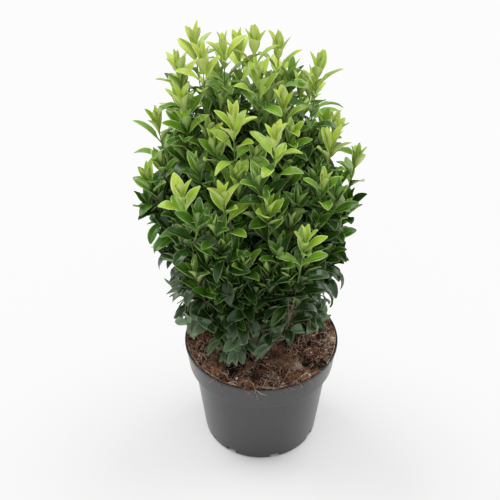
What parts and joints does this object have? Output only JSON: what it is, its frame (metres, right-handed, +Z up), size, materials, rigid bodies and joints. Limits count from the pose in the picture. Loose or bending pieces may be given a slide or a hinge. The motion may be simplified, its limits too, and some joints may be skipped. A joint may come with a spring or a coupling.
{
  "type": "potted japanese spindle shrub",
  "caption": "Small evergreen shrub of upright leafy shoots in a round nursery pot with a collared rim; stands on its flat base on a patio, step or bench.",
  "frame": {"origin": "centre of the pot's flat underside, on the ground", "axes": "+Z up along the pot's axis, -Y towards the viewer of the picture, +X to the viewer's right"},
  "size_m": [0.2551, 0.2391, 0.5379],
  "materials": {
    "pot": "matte",
    "soil": "matte",
    "bark": "matte",
    "foliage": "satin"
  },
  "bodies": {
    "root": {"pot": "pot", "potting_soil": "soil", "trunk": "bark", "bough_back": "bark", "bough_back_inner": "bark", "bough_centre": "bark", "bough_centre_front": "bark", "bough_far_left_back": "bark", "bough_far_right": "bark", "bough_far_right_back": "bark", "bough_front": "bark", "bough_front_inner": "bark", "bough_left": "bark", "bough_left_back": "bark", "bough_left_front": "bark", "bough_left_inner": "bark", "bough_right": "bark", "bough_right_back": "bark", "bough_right_front": "bark", "bough_right_inner": "bark", "foliage_back": "foliage", "foliage_back_inner": "foliage", "foliage_centre": "foliage", "foliage_centre_front": "foliage", "foliage_far_left_back": "foliage", "foliage_far_right": "foliage", "foliage_far_right_back": "foliage", "foliage_front": "foliage", "foliage_front_inner": "foliage", "foliage_left": "foliage", "foliage_left_back": "foliage", "foliage_left_front": "foliage", "foliage_left_inner": "foliage", "foliage_right": "foliage", "foliage_right_back": "foliage", "foliage_right_front": "foliage", "foliage_right_inner": "foliage"}
  },
  "joints": []
}
